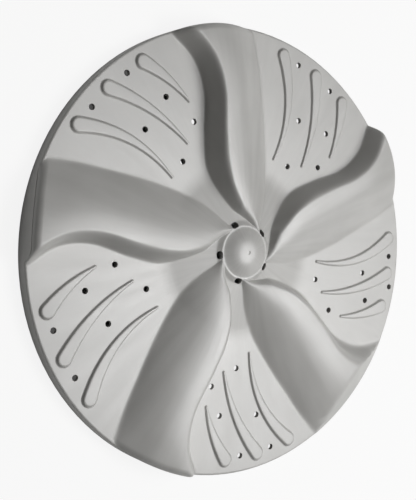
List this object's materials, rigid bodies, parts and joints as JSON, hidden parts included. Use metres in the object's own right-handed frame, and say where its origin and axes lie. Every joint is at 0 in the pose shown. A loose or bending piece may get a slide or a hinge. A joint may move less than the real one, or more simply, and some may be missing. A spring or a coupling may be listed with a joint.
{
  "type": "washing machine agitator",
  "caption": "Flat round plastic agitator plate with S-curved blades, a domed hub, teardrop ribs, drain holes and a ribbed underside with a blind drive bore.",
  "frame": {"origin": "on the drive axis, at the foot of the skirt", "axes": "+Z along the drive axis, out of the washing side with the blades"},
  "size_m": [0.34, 0.34, 0.0301],
  "materials": {
    "grey_polypropylene": "satin moulded polypropylene, light warm grey"
  },
  "bodies": {
    "root": {"agitator_plate": "grey_polypropylene"}
  },
  "joints": []
}
